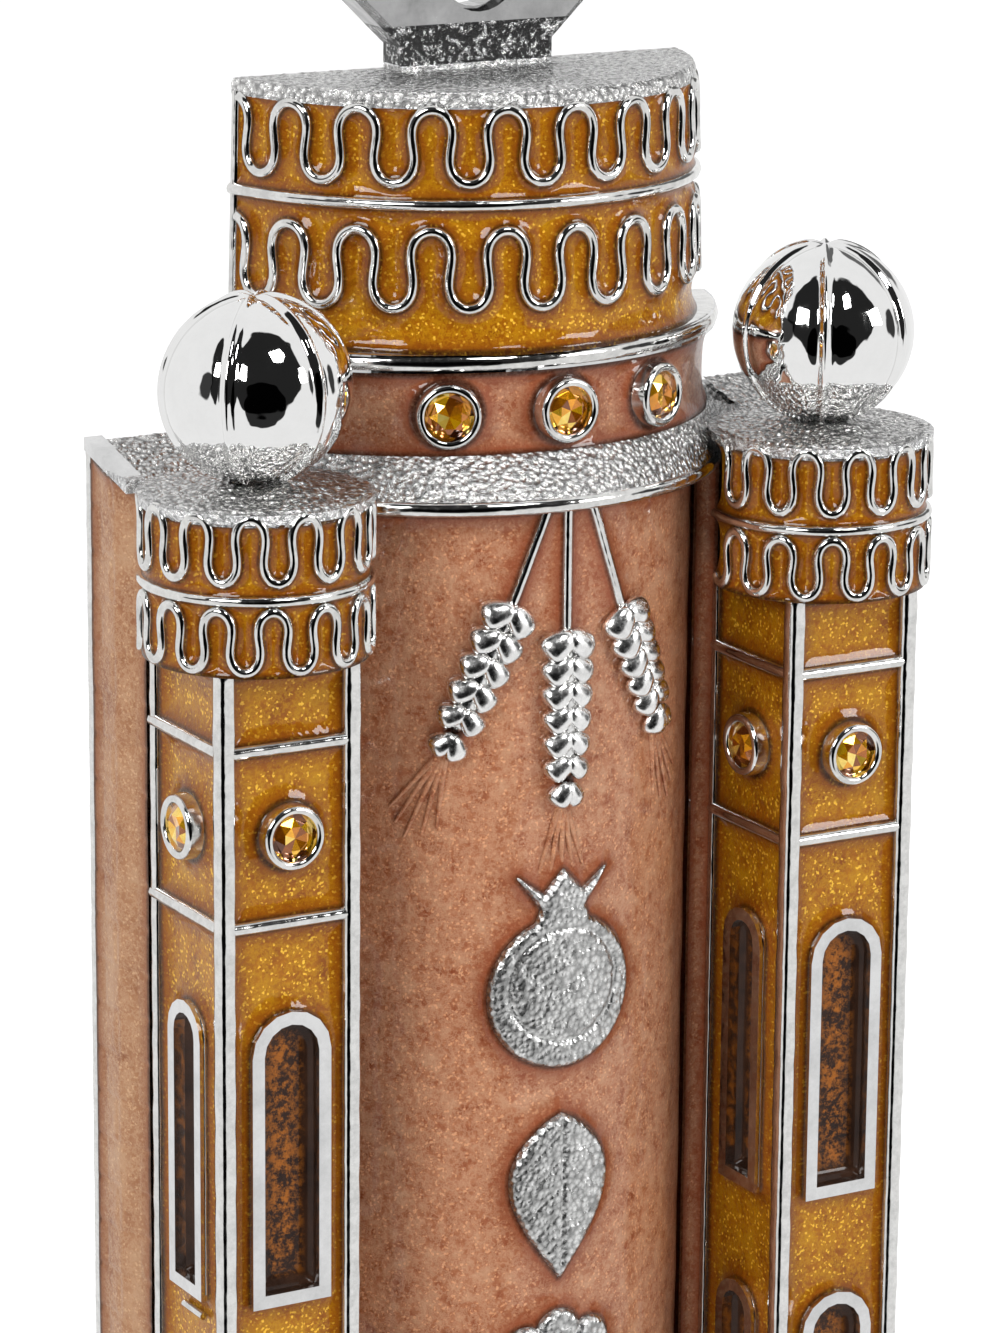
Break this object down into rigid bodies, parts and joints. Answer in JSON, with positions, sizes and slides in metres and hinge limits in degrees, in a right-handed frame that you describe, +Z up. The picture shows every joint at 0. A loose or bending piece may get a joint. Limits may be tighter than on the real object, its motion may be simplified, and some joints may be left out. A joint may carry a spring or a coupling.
{
  "type": "mezuzah case",
  "caption": "Silver-coloured mezuzah case shaped as a round keep flanked by square towers, with amber enamel, amber stones, ball finials, a scroll chamber and a back cover.",
  "frame": {"origin": "on the flat back behind the crown, on the middle plane, 8 mm below the centre of the upper screw hole", "axes": "+Z up the case, -Y out of its front, +X to the right seen from the front"},
  "size_m": [0.0398, 0.0136, 0.1271],
  "materials": {
    "silver": "polished",
    "amber_enamel": "gloss",
    "rose_enamel": "gloss",
    "amber_stone": "polished",
    "parchment": "matte",
    "cover_metal": "satin"
  },
  "bodies": {
    "root": {"ball_left": "silver", "ball_right": "silver", "band_enamel": "rose_enamel", "case_body": "silver", "column_enamel": "rose_enamel", "crown_enamel_lower": "amber_enamel", "crown_enamel_upper": "amber_enamel", "crown_ring": "silver", "crown_wires_lower": "silver", "crown_wires_upper": "silver", "drum_enamel_lower_left": "amber_enamel", "drum_enamel_lower_right": "amber_enamel", "drum_enamel_upper_left": "amber_enamel", "drum_enamel_upper_right": "amber_enamel", "drum_ring_left": "silver", "drum_ring_right": "silver", "drum_wires_lower_left": "silver", "drum_wires_lower_right": "silver", "drum_wires_upper_left": "silver", "drum_wires_upper_right": "silver", "ornament_leaf": "silver", "ornament_pomegranate": "silver", "ornament_rosette": "silver", "setting_keep_left": "silver", "setting_keep_middle": "silver", "setting_keep_right": "silver", "setting_tower_left_front": "silver", "setting_tower_left_inner": "silver", "setting_tower_left_outer": "silver", "setting_tower_right_front": "silver", "setting_tower_right_inner": "silver", "setting_tower_right_outer": "silver", "side_enamel_left": "rose_enamel", "side_enamel_right": "rose_enamel", "stone_keep_left": "amber_stone", "stone_keep_middle": "amber_stone", "stone_keep_right": "amber_stone", "stone_tower_left_front": "amber_stone", "stone_tower_left_inner": "amber_stone", "stone_tower_left_outer": "amber_stone", "stone_tower_right_front": "amber_stone", "stone_tower_right_inner": "amber_stone", "stone_tower_right_outer": "amber_stone", "tower_enamel_left": "amber_enamel", "tower_enamel_right": "amber_enamel", "tower_ribs_left": "silver", "tower_ribs_right": "silver", "wheat_left": "silver", "wheat_middle": "silver", "wheat_right": "silver"},
    "cover": {"back_cover": "cover_metal"},
    "scroll": {"parchment_scroll": "parchment"}
  },
  "joints": [
    {"name": "cover_slide", "type": "slide", "parent": "root", "child": "cover", "axis": [0, 1, 0], "range_m": [0, 0.03]},
    {"name": "scroll_slide", "type": "slide", "parent": "root", "child": "scroll", "axis": [0, 1, 0], "range_m": [0, 0.015]}
  ],
  "couplings": [
    {"joint": "scroll_slide", "follows": "cover_slide", "ratio": 0.5}
  ]
}
